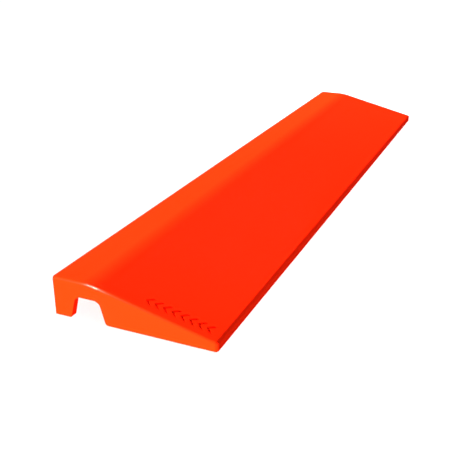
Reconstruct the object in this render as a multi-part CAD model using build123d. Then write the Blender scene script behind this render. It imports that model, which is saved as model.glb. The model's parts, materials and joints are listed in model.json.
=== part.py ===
from build123d import *
import math
import os

# Cable protector ramp: a ribbed plastic ramp with a cable channel under its high side.
# The origin is on the floor under the middle of the ramp. +X runs along it, +Y points to its high
# back face and +Z up, so wheels and feet come from -Y, over the low nose. Sizes are in millimetres.

# Envelope
LENGTH = 1000.0
WIDTH = 196.7
HEIGHT = 46.4
SLOPE_ANGLE = 13.5  # of the running surface, in degrees
NOSE_HEIGHT = 10.75  # where the slope meets the nose face
CREST_RADIUS = 95.0  # between the level top and the slope

# Rounding of the outside edges
TOP_RADIUS = 3.5  # round the running surface and down the corners of the nose
BACK_RADIUS = 1.0
TOE_RADIUS = 0.3

# Cable channel, as each cross web is notched for it
CHANNEL_HEIGHT = 27.2
CHANNEL_MOUTH = 44.6  # width at the floor
CHANNEL_LEAN = 15.6  # of both sides from upright, in degrees
CHANNEL_ROOF_RADIUS = 8.0
CHANNEL_TOE_RADIUS = 4.5
LEG_FOOT = 20.7  # width of a leg at the floor, across the ramp
LEG_TOE_RADIUS = 1.5

# Walls of the moulding
DECK = 5.0
BACK_LIP = 5.0
CHANNEL_WALL = 5.0
NOSE_BAR = 16.0
END_WEB = 9.2  # at the floor
END_WEB_TOP = 6.5  # at the height of the level top
LEG_WEB = 9.0  # each cross web over the channel, and the leg at its end
RIB = 5.0
RIB_FROM_BACK = 125.0  # the middle of the long rib
CORNER_RADIUS = 3.0  # upright corners of the hollows
BAYS = 10  # between the cross webs

# Grip feet, pushed into bosses
FOOT_DIAMETER = 18.0
FOOT_THICKNESS = 2.5
FOOT_GAP = 0.3  # round the foot in its recess
FOOT_EDGE = 0.5
STEM_DIAMETER = 6.0
STEM_LENGTH = 6.5
STEM_TIP = 0.8
STEM_END_ROOM = 0.5  # of the hole, past the stem
GROOVE_RADII = (3.6, 6.2)
GROOVE_WIDTH = 1.0
GROOVE_DEPTH = 0.6
BOSS_DIAMETER = 23.0
FOOT_ROWS = {"channel": 88.0, "nose": 158.0}  # distance of each row from the back face
FOOT_WEBS = (1, 3, 5, 7, 9)  # the cross webs with bosses, counted from 0 at the -X end

# Direction mark, sunk in the slope by the -X end
CHEVRONS = 8
CHEVRON_PITCH = 10.3
CHEVRON_SPAN = 13.0  # along the ramp
CHEVRON_POINT = 6.0  # how far its tip leads its arms
CHEVRON_STROKE = 4.2  # measured the way it points
CHEVRON_DEPTH = 2.0
MARK_FROM_END = 17.5  # its centre line
MARK_FROM_BACK = 146.0  # its middle, measured level

OVER = 1.0  # how far a cutter runs past what it cuts

BACK_Y = WIDTH / 2
END_X = LENGTH / 2
SLOPE = math.tan(math.radians(SLOPE_ANGLE))
LEAN = math.tan(math.radians(CHANNEL_LEAN))
# Where the level top and the slope would meet, as a distance from the back face
CREST = WIDTH - (HEIGHT - NOSE_HEIGHT) / SLOPE
CHANNEL_FAR_SIDE = LEG_FOOT + CHANNEL_MOUTH
ROOF = HEIGHT - DECK
# The roof line lies DECK below the slope, measured square to it
ROOF_CREST = CREST - DECK * (1 / math.cos(math.radians(SLOPE_ANGLE)) - 1) / SLOPE
WEB_PITCH = (LENGTH - END_WEB) / BAYS


def across(from_back):
    """The Y coordinate at a distance from the back face."""
    return BACK_Y - from_back


def web_x(index):
    """The middle of a cross web, counted from 0 at the -X end."""
    return -END_X + END_WEB / 2 + index * WEB_PITCH


def prism(corners, start, end):
    """A solid from X = start to X = end, whose section has corners of (distance from back, height, radius)."""
    points = [(across(from_back), z) for from_back, z, radius in corners]
    radii = [radius for from_back, z, radius in corners]
    if any(radii):
        outline = FilletPolyline(*points, radius=radii, close=True)
    else:
        outline = Polyline(*points, close=True)
    face = Plane.YZ * make_face(outline)
    return Pos(start, 0, 0) * extrude(face, amount=end - start, dir=(1, 0, 0))


def block(length, middle_x, from_back, to_back, bottom, top):
    """A box with its length along X, between two distances from the back face and two heights."""
    size = (length, to_back - from_back, top - bottom)
    return Pos(middle_x, across((from_back + to_back) / 2), (bottom + top) / 2) * Box(*size)


def envelope():
    """The outside of the ramp with its rounded edges, still solid underneath."""
    corners = [
        (0, 0, 0),
        (0, HEIGHT, 0),
        (CREST, HEIGHT, CREST_RADIUS),
        (WIDTH, NOSE_HEIGHT, 0),
        (WIDTH, 0, 0),
    ]
    solid = prism(corners, -END_X, END_X)
    end_edges = solid.faces().filter_by(Axis.X).edges()
    end_tops = [e for e in end_edges if e.center().Z > NOSE_HEIGHT and abs(e.tangent_at(0.5).Y) > 0.5]
    nose_face = solid.faces().sort_by(Axis.Y)[0]
    nose_edges = [e for e in nose_face.edges() if e.center().Z > NOSE_HEIGHT / 4]
    solid = fillet(end_tops + nose_edges, TOP_RADIUS)
    # This fillet runs on down both ends of the back face
    back_face = solid.faces().sort_by(Axis.Y)[-1]
    solid = fillet(back_face.edges().sort_by(Axis.Z)[-1], BACK_RADIUS)
    sole = solid.faces().sort_by(Axis.Z)[0]
    return fillet(sole.edges(), TOE_RADIUS)


def far_side(z):
    """How far the channel's nose side is from the back face at a height."""
    return CHANNEL_FAR_SIDE - z * LEAN


def channel_notch():
    """The channel's section, cut through every cross web."""
    narrowing = CHANNEL_HEIGHT * LEAN
    leg_toe = LEG_FOOT - LEG_TOE_RADIUS
    wall_toe = CHANNEL_FAR_SIDE + CHANNEL_TOE_RADIUS
    corners = [
        (leg_toe, -OVER, 0),
        (leg_toe, 0, 0),
        (LEG_FOOT, 0, LEG_TOE_RADIUS),
        (LEG_FOOT + narrowing, CHANNEL_HEIGHT, CHANNEL_ROOF_RADIUS),
        (far_side(CHANNEL_HEIGHT), CHANNEL_HEIGHT, CHANNEL_ROOF_RADIUS),
        (CHANNEL_FAR_SIDE, 0, CHANNEL_TOE_RADIUS),
        (wall_toe, 0, 0),
        (wall_toe, -OVER, 0),
    ]
    return prism(corners, -END_X - OVER, END_X + OVER)


def channel_wall():
    """The long wall on the nose side of the channel, which leans as the notches do."""
    corners = [
        (far_side(-OVER), -OVER, 0),
        (far_side(HEIGHT), HEIGHT, 0),
        (far_side(HEIGHT) + CHANNEL_WALL, HEIGHT, 0),
        (far_side(-OVER) + CHANNEL_WALL, -OVER, 0),
    ]
    return prism(corners, -END_X, END_X)


def leg_web(middle_x):
    """A cross web from behind the back face to the middle of the channel wall, with its leg."""
    corners = [
        (-OVER, -OVER, 0),
        (-OVER, HEIGHT, 0),
        (far_side(HEIGHT) + CHANNEL_WALL / 2, HEIGHT, 0),
        (far_side(-OVER) + CHANNEL_WALL / 2, -OVER, 0),
    ]
    return prism(corners, middle_x - LEG_WEB / 2, middle_x + LEG_WEB / 2)


def underside():
    """The space under the deck, from the back lip to the nose bar."""
    front = WIDTH - NOSE_BAR
    corners = [
        (BACK_LIP, -OVER, 0),
        (BACK_LIP, ROOF, 0),
        (ROOF_CREST, ROOF, CREST_RADIUS - DECK),
        (front, ROOF - (front - ROOF_CREST) * SLOPE, 0),
        (front, -OVER, 0),
    ]
    return prism(corners, -END_X, END_X)


def end_webs():
    """The cross webs at the two ends, which thicken towards the floor."""
    corners = [
        (END_X - END_WEB, -OVER),
        (END_X - END_WEB_TOP, HEIGHT),
        (END_X, HEIGHT),
        (END_X, -OVER),
    ]
    face = Plane.XZ * make_face(Polyline(*corners, close=True))
    web = extrude(face, amount=WIDTH / 2 + OVER, both=True)
    return [web, web.mirror(Plane.YZ)]


def legs():
    """Every cross web as far as the channel wall."""
    return [*end_webs(), *[leg_web(web_x(index)) for index in range(1, BAYS)]]


def hollows():
    """The hollows that the walls leave in the underside, with rounded upright corners."""
    walls = [
        *legs(),
        *[block(RIB, web_x(index), 0, WIDTH, -OVER, HEIGHT) for index in range(1, BAYS)],
        channel_wall(),
        block(LENGTH, 0, RIB_FROM_BACK - RIB / 2, RIB_FROM_BACK + RIB / 2, -OVER, HEIGHT),
    ]
    rounded = []
    for hollow in (underside() - walls).solids():
        upright = [e for e in hollow.edges() if abs(e.tangent_at(0.5).Z) > 0.9]
        rounded.append(hollow.fillet(CORNER_RADIUS, upright))
    return rounded


def cable_exits():
    """The openings between the legs, through the back face under its lip."""
    inner = BACK_LIP + CORNER_RADIUS
    return block(LENGTH, 0, -OVER, inner, -OVER, CHANNEL_HEIGHT) - legs()


def foot_places():
    """The name and place of every grip foot."""
    places = {}
    for row, from_back in FOOT_ROWS.items():
        for number, web in enumerate(FOOT_WEBS, start=1):
            places[f"grip_foot_{row}_{number}"] = Pos(web_x(web), across(from_back), 0)
    return places


def upright_cylinder(radius, bottom, top):
    return Pos(0, 0, (bottom + top) / 2) * Cylinder(radius, top - bottom)


def foot_socket():
    """The recess and hole in a boss that take one grip foot."""
    recess = upright_cylinder(FOOT_DIAMETER / 2 + FOOT_GAP, -OVER, FOOT_THICKNESS)
    hole_top = FOOT_THICKNESS + STEM_LENGTH + STEM_END_ROOM
    return recess + upright_cylinder(STEM_DIAMETER / 2, 0, hole_top)


def chevrons():
    """The direction mark: a row of chevrons that point up the slope."""
    height = HEIGHT - (MARK_FROM_BACK - CREST) * SLOPE
    slope = Plane(
        origin=(-END_X + MARK_FROM_END, across(MARK_FROM_BACK), height),
        x_dir=(1, 0, 0),
        z_dir=(0, -SLOPE, 1),
    )
    arm = CHEVRON_SPAN / 2
    outline = [
        (-arm, 0),
        (0, CHEVRON_POINT),
        (arm, 0),
        (arm, -CHEVRON_STROKE),
        (0, CHEVRON_POINT - CHEVRON_STROKE),
        (-arm, -CHEVRON_STROKE),
    ]
    chevron = extrude(make_face(Polyline(*outline, close=True)), amount=CHEVRON_DEPTH, both=True)
    middle = (CHEVRONS - 1) / 2
    centred = (CHEVRON_STROKE - CHEVRON_POINT) / 2
    return [
        slope * Pos(0, (index - middle) * CHEVRON_PITCH + centred, 0) * chevron for index in range(CHEVRONS)
    ]


def ramp_body():
    """The moulding: deck, nose, legs, cross webs, channel wall, rib and bosses in one piece."""
    places = foot_places().values()
    bosses = [place * upright_cylinder(BOSS_DIAMETER / 2, -OVER, HEIGHT) for place in places]
    body = envelope() - channel_notch()
    body -= [hollow - bosses for hollow in hollows()]
    body -= cable_exits()
    body -= [place * foot_socket() for place in places]
    return body - chevrons()


def grip_foot():
    """One push-in rubber foot, with ring grooves in its sole."""
    head = upright_cylinder(FOOT_DIAMETER / 2, 0, FOOT_THICKNESS)
    head = fillet(head.edges().group_by(Axis.Z)[0], FOOT_EDGE)
    stem = upright_cylinder(STEM_DIAMETER / 2, 0, FOOT_THICKNESS + STEM_LENGTH)
    stem = chamfer(stem.edges().group_by(Axis.Z)[-1], STEM_TIP)
    foot = head + stem
    for radius in GROOVE_RADII:
        groove = upright_cylinder(radius + GROOVE_WIDTH, -OVER, GROOVE_DEPTH)
        foot -= groove - upright_cylinder(radius, -OVER, GROOVE_DEPTH)
    return foot


def write(shape, node):
    export_step(shape, f"parts/{node}.step")


os.makedirs("parts", exist_ok=True)
write(ramp_body(), "ramp_body")
foot = grip_foot()
for node, place in foot_places().items():
    write(place * foot, node)
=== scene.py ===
import json
import math

import bpy
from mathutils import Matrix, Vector


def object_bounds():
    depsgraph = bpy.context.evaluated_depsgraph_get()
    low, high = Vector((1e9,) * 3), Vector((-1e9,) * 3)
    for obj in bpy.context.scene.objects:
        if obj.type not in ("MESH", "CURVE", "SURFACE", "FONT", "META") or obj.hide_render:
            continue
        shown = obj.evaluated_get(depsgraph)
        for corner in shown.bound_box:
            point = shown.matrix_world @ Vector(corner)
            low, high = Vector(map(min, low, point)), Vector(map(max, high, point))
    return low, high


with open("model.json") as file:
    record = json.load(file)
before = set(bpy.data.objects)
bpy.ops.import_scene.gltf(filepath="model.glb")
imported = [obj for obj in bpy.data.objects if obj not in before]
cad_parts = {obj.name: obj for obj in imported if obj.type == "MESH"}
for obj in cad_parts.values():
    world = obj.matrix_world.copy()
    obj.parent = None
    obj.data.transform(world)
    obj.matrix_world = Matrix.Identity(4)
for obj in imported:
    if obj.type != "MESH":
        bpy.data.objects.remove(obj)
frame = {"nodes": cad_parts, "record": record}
cad_low, cad_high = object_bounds()

MILLIMETRE = 0.001

# The camera: metres from the middle of the ramp's base, degrees, and millimetres for the lens
CAMERA_PLACE = (-1.0598, -0.3573, 0.3993)
CAMERA_TILT = 67.148
CAMERA_ROLL = 0.185
CAMERA_TURN = -65.991
CAMERA_LENS = 57.652
SENSOR = 36.0

# Shading: an edge sharper than this stays creased, and corners nearer than this are joined
SHARP_ANGLE = math.radians(28)
WELD = 0.02 * MILLIMETRE

# Brightness of the surround, as it lights the ramp
SURROUND = 0.02

# The highlight lamp aims at the near end of the rounded crest
CREST_Y = 0.048
SPARK_FROM_CREST = (-0.41, 0.1975, 0.21)

FLOOR_SIZE = 40.0

ORANGE = (0.93, 0.0146, 0.0011, 1.0)
ORANGE_PALE = (0.94, 0.0152, 0.0014, 1.0)
RUBBER = (0.018, 0.018, 0.019, 1.0)
RUBBER_GREY = (0.05, 0.049, 0.047, 1.0)
FLOOR_GREY = (0.60, 0.60, 0.60, 1.0)
FLOOR_PALE = (0.62, 0.62, 0.62, 1.0)
WHITE = (1.0, 1.0, 1.0, 1.0)


class Nodes:
    """A node material that is built up node by node."""

    def __init__(self, name):
        self.material = bpy.data.materials.new(name)
        self.material.use_nodes = True
        self.tree = self.material.node_tree
        self.shader = self.tree.nodes["Principled BSDF"]
        self.place = self.add("ShaderNodeTexCoord").outputs["Object"]

    def add(self, kind, inputs=None, **settings):
        """A new node with its settings. Each input is either linked to a socket or set to a value."""
        node = self.tree.nodes.new(kind)
        for key, value in settings.items():
            setattr(node, key, value)
        for key, value in (inputs or {}).items():
            if isinstance(value, bpy.types.NodeSocket):
                self.tree.links.new(value, node.inputs[key])
            else:
                node.inputs[key].default_value = value
        return node

    def noise(self, size, detail=3.0, roughness=0.5):
        """Noise with features of about a size in metres, from 0 to 1."""
        inputs = {"Vector": self.place, "Scale": 1 / size, "Detail": detail, "Roughness": roughness}
        return self.add("ShaderNodeTexNoise", inputs).outputs["Fac"]

    def between(self, value, low, high, to_low=0.0, to_high=1.0):
        """A value carried smoothly from one range to another, and kept inside it."""
        inputs = {
            "Value": value,
            "From Min": low,
            "From Max": high,
            "To Min": to_low,
            "To Max": to_high,
        }
        node = self.add("ShaderNodeMapRange", inputs, interpolation_type="SMOOTHSTEP")
        return node.outputs["Result"]

    def blend(self, amount, first, second):
        """A colour between two others. The numbers are the Mix node's sockets, as it has them for colours."""
        inputs = {0: amount, 6: first, 7: second}
        return self.add("ShaderNodeMix", inputs, data_type="RGBA").outputs[2]

    def bump(self, height, depth, strength=1.0):
        """A bump whose full height is a depth in metres."""
        inputs = {"Height": height, "Distance": depth, "Strength": strength}
        return self.add("ShaderNodeBump", inputs).outputs["Normal"]

    def finish(self, color, roughness, normal, **constants):
        """Links what varies over the surface, and sets the constants on the shader's own sockets."""
        self.tree.links.new(color, self.shader.inputs["Base Color"])
        self.tree.links.new(roughness, self.shader.inputs["Roughness"])
        self.tree.links.new(normal, self.shader.inputs["Normal"])
        for key, value in constants.items():
            self.shader.inputs[key.replace("_", " ")].default_value = value
        return self.material


def orange_plastic():
    """Moulded plastic: a satin base under a thin crisp skin, with a fine grain and a little handling wear."""
    m = Nodes("orange_plastic")
    flow = m.noise(0.18, detail=2.0)
    grain = m.noise(1.5 * MILLIMETRE, detail=2.0)
    rub = m.between(m.noise(0.02, detail=5.0, roughness=0.6), 0.55, 0.8)
    color = m.blend(m.between(flow, 0.3, 0.7, 0.0, 0.6), ORANGE, ORANGE_PALE)
    roughness = m.between(rub, 0.0, 1.0, 0.48, 0.56)
    normal = m.bump(grain, 0.01 * MILLIMETRE, 0.2)
    skin = {"Coat_Weight": 0.3, "Coat_Roughness": 0.07, "Coat_IOR": 1.5}
    return m.finish(color, roughness, normal, IOR=1.46, Specular_IOR_Level=0.01, **skin)


def foot_rubber():
    """Matt moulded rubber with a little dust in its texture."""
    m = Nodes("foot_rubber")
    grain = m.noise(0.35 * MILLIMETRE, detail=3.0)
    dust = m.between(m.noise(4 * MILLIMETRE, detail=4.0), 0.5, 0.75, 0.0, 0.5)
    color = m.blend(dust, RUBBER, RUBBER_GREY)
    roughness = m.between(grain, 0.2, 0.8, 0.7, 0.9)
    return m.finish(color, roughness, m.bump(grain, 0.05 * MILLIMETRE, 0.6), IOR=1.5)


def smooth_shading():
    """Geometry nodes that join the CAD faces and crease only the true corners."""
    group = bpy.data.node_groups.new("smooth_shading", "GeometryNodeTree")
    group.interface.new_socket("Geometry", in_out="INPUT", socket_type="NodeSocketGeometry")
    group.interface.new_socket("Geometry", in_out="OUTPUT", socket_type="NodeSocketGeometry")
    add = group.nodes.new
    link = group.links.new
    start = add("NodeGroupInput")
    end = add("NodeGroupOutput")
    weld = add("GeometryNodeMergeByDistance")
    weld.inputs["Distance"].default_value = WELD
    angle = add("GeometryNodeInputMeshEdgeAngle")
    gentle = add("FunctionNodeCompare")
    gentle.operation = "LESS_THAN"
    gentle.inputs[1].default_value = SHARP_ANGLE
    faces = add("GeometryNodeSetShadeSmooth")
    edges = add("GeometryNodeSetShadeSmooth")
    edges.domain = "EDGE"
    link(start.outputs[0], weld.inputs["Geometry"])
    link(weld.outputs[0], faces.inputs["Geometry"])
    link(faces.outputs[0], edges.inputs["Geometry"])
    link(angle.outputs["Unsigned Angle"], gentle.inputs[0])
    link(gentle.outputs[0], edges.inputs["Shade Smooth"])
    link(edges.outputs[0], end.inputs[0])
    return group


def dress(node, material, shading):
    """Gives a CAD node its material, and normals that run smoothly over its fillets."""
    piece = frame["nodes"][node]
    piece.data.materials.clear()
    piece.data.materials.append(material)
    piece.modifiers.new("smooth_shading", "NODES").node_group = shading
    weighted = piece.modifiers.new("weighted_normals", "WEIGHTED_NORMAL")
    weighted.keep_sharp = True
    weighted.weight = 100


def make_floor():
    """A plain pale floor. The ramp neither mirrors it nor is lit by it."""
    bpy.ops.mesh.primitive_plane_add(size=FLOOR_SIZE, location=(0, 0, cad_low.z))
    floor = bpy.context.object
    floor.name = "floor"
    m = Nodes("pale_floor")
    color = m.blend(m.noise(0.5), FLOOR_GREY, FLOOR_PALE)
    m.tree.links.new(color, m.shader.inputs["Base Color"])
    m.shader.inputs["Roughness"].default_value = 0.9
    m.shader.inputs["Specular IOR Level"].default_value = 0.1
    floor.data.materials.append(m.material)
    floor.visible_glossy = False
    floor.visible_diffuse = False
    return floor


def aim(light, place, target):
    """Puts a light in the scene at a place, shining towards a target."""
    light.location = place
    light.rotation_euler = (Vector(target) - Vector(place)).to_track_quat("-Z", "Y").to_euler()
    bpy.context.scene.collection.objects.link(light)


def soft_sun(name, source, brightness, spread):
    """Light from far away. Brightness is that of a white surface facing it, and spread is in degrees."""
    light = bpy.data.lights.new(name, "SUN")
    light.energy = brightness * math.pi
    light.angle = math.radians(spread)
    sun = bpy.data.objects.new(name, light)
    aim(sun, source, (0, 0, 0))
    return sun


def lamp(name, place, target, size, power, spread=180.0):
    """A softbox of a length and a height in metres, with a power in watts and a spread in degrees."""
    light = bpy.data.lights.new(name, "AREA")
    light.shape = "RECTANGLE"
    light.size, light.size_y = size
    light.energy = power
    light.spread = math.radians(spread)
    box = bpy.data.objects.new(name, light)
    box.visible_camera = False
    aim(box, place, target)
    return box


def keep_to(light, pieces):
    """Lets a light reach only some pieces, and only they cast its shadows."""
    group = bpy.data.collections.new(light.name + "_pieces")
    for piece in pieces:
        group.objects.link(piece)
    light.light_linking.receiver_collection = group
    light.light_linking.blocker_collection = group


def make_world():
    """A dim surround that the camera sees as a white backdrop."""
    world = bpy.data.worlds.new("studio")
    world.use_nodes = True
    nodes = world.node_tree.nodes
    link = world.node_tree.links.new
    seen = nodes.new("ShaderNodeLightPath").outputs["Is Camera Ray"]
    strength = nodes.new("ShaderNodeMapRange")
    strength.inputs["To Min"].default_value = SURROUND
    strength.inputs["To Max"].default_value = 1.0
    link(seen, strength.inputs["Value"])
    link(strength.outputs["Result"], nodes["Background"].inputs["Strength"])
    nodes["Background"].inputs["Color"].default_value = WHITE
    bpy.context.scene.world = world


def make_lights(floor):
    """The key, the low light and the spark reach only the ramp, and the wash reaches only the floor."""
    ramp = [frame["nodes"][part["node"]] for part in frame["record"]["subparts"]]
    key = soft_sun("key", (-2.0, 14.6, 4.05), 15.3, 30.0)
    # Stands in for light thrown back up by the floor, so it is below the horizon
    low = soft_sun("low", (-1.0, 0.0, -0.4), 4.8, 30.0)
    fill = soft_sun("fill", (-0.6, -2.0, 0.2), 0.78, 60.0)
    overhead = soft_sun("overhead", (0.0, 0.0, 3.0), 0.1, 140.0)
    far_lamp = lamp("far_lamp", (0.9, 0.2, 0.7), (0.45, 0.0, 0.0), (0.5, 0.5), 14.0)
    for light in (key, low, fill, overhead, far_lamp):
        light.visible_glossy = False
    # This small strip draws a short bright line on the near end's edge, at the crest
    crest = Vector((cad_low.x, CREST_Y, cad_high.z))
    spark = lamp("spark", crest + Vector(SPARK_FROM_CREST), crest, (0.12, 0.035), 0.8, 40.0)
    spark.visible_diffuse = False
    for light in (key, low, spark):
        keep_to(light, ramp)
    keep_to(soft_sun("floor_wash", (0.0, 0.0, 3.0), 1.5, 20.0), [floor])


def make_camera():
    """The camera at the near end. Colours are shown without a film look."""
    camera = bpy.data.objects.new("camera", bpy.data.cameras.new("camera"))
    camera.data.sensor_width = SENSOR
    camera.data.lens = CAMERA_LENS
    camera.location = CAMERA_PLACE
    camera.rotation_euler = [math.radians(a) for a in (CAMERA_TILT, CAMERA_ROLL, CAMERA_TURN)]
    bpy.context.scene.collection.objects.link(camera)
    bpy.context.scene.camera = camera
    bpy.context.scene.view_settings.view_transform = "Standard"


make_camera()
make_world()
make_lights(make_floor())
shading = smooth_shading()
finishes = {"orange_plastic": orange_plastic(), "foot_rubber": foot_rubber()}
for part in frame["record"]["subparts"]:
    dress(part["node"], finishes[part["material_slot"]], shading)
